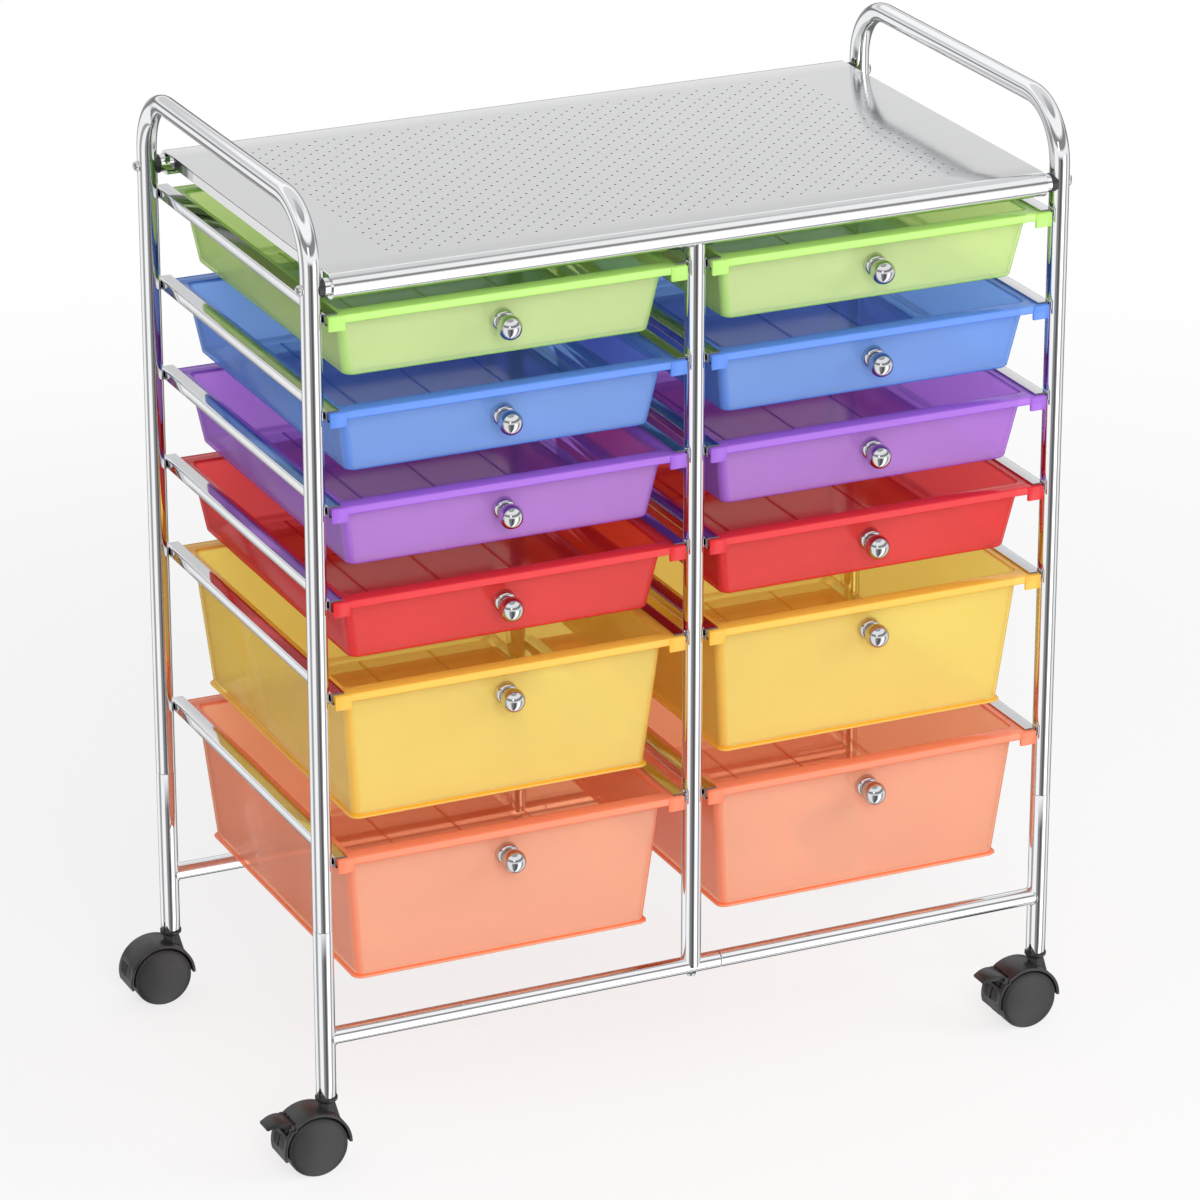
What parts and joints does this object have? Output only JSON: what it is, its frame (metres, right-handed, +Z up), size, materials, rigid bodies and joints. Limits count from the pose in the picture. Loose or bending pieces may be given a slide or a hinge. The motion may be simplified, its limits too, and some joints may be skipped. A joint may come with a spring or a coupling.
{
  "type": "rolling drawer cart",
  "caption": "Chrome tube cart on swivel casters with two columns of coloured plastic drawers that slide in C rails under a perforated metal top between two loop handles.",
  "frame": {"origin": "on the floor midway between the four outer posts", "axes": "+Z up, -Y towards the front where the drawers open, +X to the right seen from the front"},
  "size_m": [0.7012, 0.3771, 0.7935],
  "materials": {
    "chrome_tube": "mirror plated steel tube",
    "rail_steel": "plated rolled steel",
    "panel_steel": "satin perforated sheet steel",
    "knob_chrome": "mirror plated, turned",
    "screw_steel": "plated pan-head screw",
    "pin_steel": "zinc plated steel pin",
    "black_plastic": "moulded, satin",
    "wheel_plastic": "moulded, semi-gloss",
    "green_plastic": "translucent moulded polypropylene, glossy",
    "blue_plastic": "translucent moulded polypropylene, glossy",
    "purple_plastic": "translucent moulded polypropylene, glossy",
    "red_plastic": "translucent moulded polypropylene, glossy",
    "yellow_plastic": "translucent moulded polypropylene, glossy",
    "orange_plastic": "translucent moulded polypropylene, glossy"
  },
  "bodies": {
    "frame": {"side_loop_left": "chrome_tube", "side_loop_right": "chrome_tube", "lower_leg_front_left": "chrome_tube", "lower_leg_front_right": "chrome_tube", "lower_leg_rear_left": "chrome_tube", "lower_leg_rear_right": "chrome_tube", "top_tubes": "chrome_tube", "bottom_bar_front": "chrome_tube", "bottom_bar_rear": "chrome_tube", "center_posts": "chrome_tube", "top_panel": "panel_steel", "rails_left": "rail_steel", "rails_center_left": "rail_steel", "rails_center_right": "rail_steel", "rails_right": "rail_steel", "saddle_washers": "black_plastic", "frame_screws": "screw_steel", "stem_sockets": "black_plastic"},
    "drawer_green_left": {"drawer_green_left": "green_plastic", "knob_green_left": "knob_chrome"},
    "drawer_blue_left": {"drawer_blue_left": "blue_plastic", "knob_blue_left": "knob_chrome"},
    "drawer_purple_left": {"drawer_purple_left": "purple_plastic", "knob_purple_left": "knob_chrome"},
    "drawer_red_left": {"drawer_red_left": "red_plastic", "knob_red_left": "knob_chrome"},
    "drawer_yellow_left": {"drawer_yellow_left": "yellow_plastic", "knob_yellow_left": "knob_chrome"},
    "drawer_orange_left": {"drawer_orange_left": "orange_plastic", "knob_orange_left": "knob_chrome"},
    "drawer_green_right": {"drawer_green_right": "green_plastic", "knob_green_right": "knob_chrome"},
    "drawer_blue_right": {"drawer_blue_right": "blue_plastic", "knob_blue_right": "knob_chrome"},
    "drawer_purple_right": {"drawer_purple_right": "purple_plastic", "knob_purple_right": "knob_chrome"},
    "drawer_red_right": {"drawer_red_right": "red_plastic", "knob_red_right": "knob_chrome"},
    "drawer_yellow_right": {"drawer_yellow_right": "yellow_plastic", "knob_yellow_right": "knob_chrome"},
    "drawer_orange_right": {"drawer_orange_right": "orange_plastic", "knob_orange_right": "knob_chrome"},
    "caster_front_left": {"caster_housing_front_left": "black_plastic", "caster_pins_front_left": "pin_steel"},
    "wheel_outer_front_left": {"wheel_outer_front_left": "wheel_plastic"},
    "wheel_inner_front_left": {"wheel_inner_front_left": "wheel_plastic"},
    "brake_lever_front_left": {"brake_lever_front_left": "black_plastic"},
    "caster_front_right": {"caster_housing_front_right": "black_plastic", "caster_pins_front_right": "pin_steel"},
    "wheel_outer_front_right": {"wheel_outer_front_right": "wheel_plastic"},
    "wheel_inner_front_right": {"wheel_inner_front_right": "wheel_plastic"},
    "brake_lever_front_right": {"brake_lever_front_right": "black_plastic"},
    "caster_rear_left": {"caster_housing_rear_left": "black_plastic", "caster_pins_rear_left": "pin_steel"},
    "wheel_outer_rear_left": {"wheel_outer_rear_left": "wheel_plastic"},
    "wheel_inner_rear_left": {"wheel_inner_rear_left": "wheel_plastic"},
    "caster_rear_right": {"caster_housing_rear_right": "black_plastic", "caster_pins_rear_right": "pin_steel"},
    "wheel_outer_rear_right": {"wheel_outer_rear_right": "wheel_plastic"},
    "wheel_inner_rear_right": {"wheel_inner_rear_right": "wheel_plastic"}
  },
  "joints": [
    {"name": "drawer_green_left_slide", "type": "slide", "parent": "frame", "child": "drawer_green_left", "axis": [0, -1, 0], "range_m": [0, 0.28]},
    {"name": "drawer_blue_left_slide", "type": "slide", "parent": "frame", "child": "drawer_blue_left", "axis": [0, -1, 0], "range_m": [0, 0.28]},
    {"name": "drawer_purple_left_slide", "type": "slide", "parent": "frame", "child": "drawer_purple_left", "axis": [0, -1, 0], "range_m": [0, 0.28]},
    {"name": "drawer_red_left_slide", "type": "slide", "parent": "frame", "child": "drawer_red_left", "axis": [0, -1, 0], "range_m": [0, 0.28]},
    {"name": "drawer_yellow_left_slide", "type": "slide", "parent": "frame", "child": "drawer_yellow_left", "axis": [0, -1, 0], "range_m": [0, 0.28]},
    {"name": "drawer_orange_left_slide", "type": "slide", "parent": "frame", "child": "drawer_orange_left", "axis": [0, -1, 0], "range_m": [0, 0.28]},
    {"name": "drawer_green_right_slide", "type": "slide", "parent": "frame", "child": "drawer_green_right", "axis": [0, -1, 0], "range_m": [0, 0.28]},
    {"name": "drawer_blue_right_slide", "type": "slide", "parent": "frame", "child": "drawer_blue_right", "axis": [0, -1, 0], "range_m": [0, 0.28]},
    {"name": "drawer_purple_right_slide", "type": "slide", "parent": "frame", "child": "drawer_purple_right", "axis": [0, -1, 0], "range_m": [0, 0.28]},
    {"name": "drawer_red_right_slide", "type": "slide", "parent": "frame", "child": "drawer_red_right", "axis": [0, -1, 0], "range_m": [0, 0.28]},
    {"name": "drawer_yellow_right_slide", "type": "slide", "parent": "frame", "child": "drawer_yellow_right", "axis": [0, -1, 0], "range_m": [0, 0.28]},
    {"name": "drawer_orange_right_slide", "type": "slide", "parent": "frame", "child": "drawer_orange_right", "axis": [0, -1, 0], "range_m": [0, 0.28]},
    {"name": "caster_front_left_swivel", "type": "hinge", "parent": "frame", "child": "caster_front_left", "pos_m": [-0.316, -0.1705, 0.057], "axis": [0, 0, 1], "continuous": true},
    {"name": "wheel_outer_front_left_spin", "type": "hinge", "parent": "caster_front_left", "child": "wheel_outer_front_left", "pos_m": [-0.329, -0.1705, 0.025], "axis": [0, 1, 0], "continuous": true},
    {"name": "wheel_inner_front_left_spin", "type": "hinge", "parent": "caster_front_left", "child": "wheel_inner_front_left", "pos_m": [-0.329, -0.1705, 0.025], "axis": [0, 1, 0], "continuous": true},
    {"name": "brake_lever_front_left_press", "type": "hinge", "parent": "caster_front_left", "child": "brake_lever_front_left", "pos_m": [-0.34943, -0.1705, 0.04473], "axis": [0, -1, 0], "range_deg": [0, 18]},
    {"name": "caster_front_right_swivel", "type": "hinge", "parent": "frame", "child": "caster_front_right", "pos_m": [0.316, -0.1705, 0.057], "axis": [0, 0, 1], "continuous": true},
    {"name": "wheel_outer_front_right_spin", "type": "hinge", "parent": "caster_front_right", "child": "wheel_outer_front_right", "pos_m": [0.303, -0.1705, 0.025], "axis": [0, 1, 0], "continuous": true},
    {"name": "wheel_inner_front_right_spin", "type": "hinge", "parent": "caster_front_right", "child": "wheel_inner_front_right", "pos_m": [0.303, -0.1705, 0.025], "axis": [0, 1, 0], "continuous": true},
    {"name": "brake_lever_front_right_press", "type": "hinge", "parent": "caster_front_right", "child": "brake_lever_front_right", "pos_m": [0.28257, -0.1705, 0.04473], "axis": [0, -1, 0], "range_deg": [0, 18]},
    {"name": "caster_rear_left_swivel", "type": "hinge", "parent": "frame", "child": "caster_rear_left", "pos_m": [-0.316, 0.1705, 0.057], "axis": [0, 0, 1], "continuous": true},
    {"name": "wheel_outer_rear_left_spin", "type": "hinge", "parent": "caster_rear_left", "child": "wheel_outer_rear_left", "pos_m": [-0.329, 0.1705, 0.025], "axis": [0, 1, 0], "continuous": true},
    {"name": "wheel_inner_rear_left_spin", "type": "hinge", "parent": "caster_rear_left", "child": "wheel_inner_rear_left", "pos_m": [-0.329, 0.1705, 0.025], "axis": [0, 1, 0], "continuous": true},
    {"name": "caster_rear_right_swivel", "type": "hinge", "parent": "frame", "child": "caster_rear_right", "pos_m": [0.316, 0.1705, 0.057], "axis": [0, 0, 1], "continuous": true},
    {"name": "wheel_outer_rear_right_spin", "type": "hinge", "parent": "caster_rear_right", "child": "wheel_outer_rear_right", "pos_m": [0.303, 0.1705, 0.025], "axis": [0, 1, 0], "continuous": true},
    {"name": "wheel_inner_rear_right_spin", "type": "hinge", "parent": "caster_rear_right", "child": "wheel_inner_rear_right", "pos_m": [0.303, 0.1705, 0.025], "axis": [0, 1, 0], "continuous": true}
  ]
}
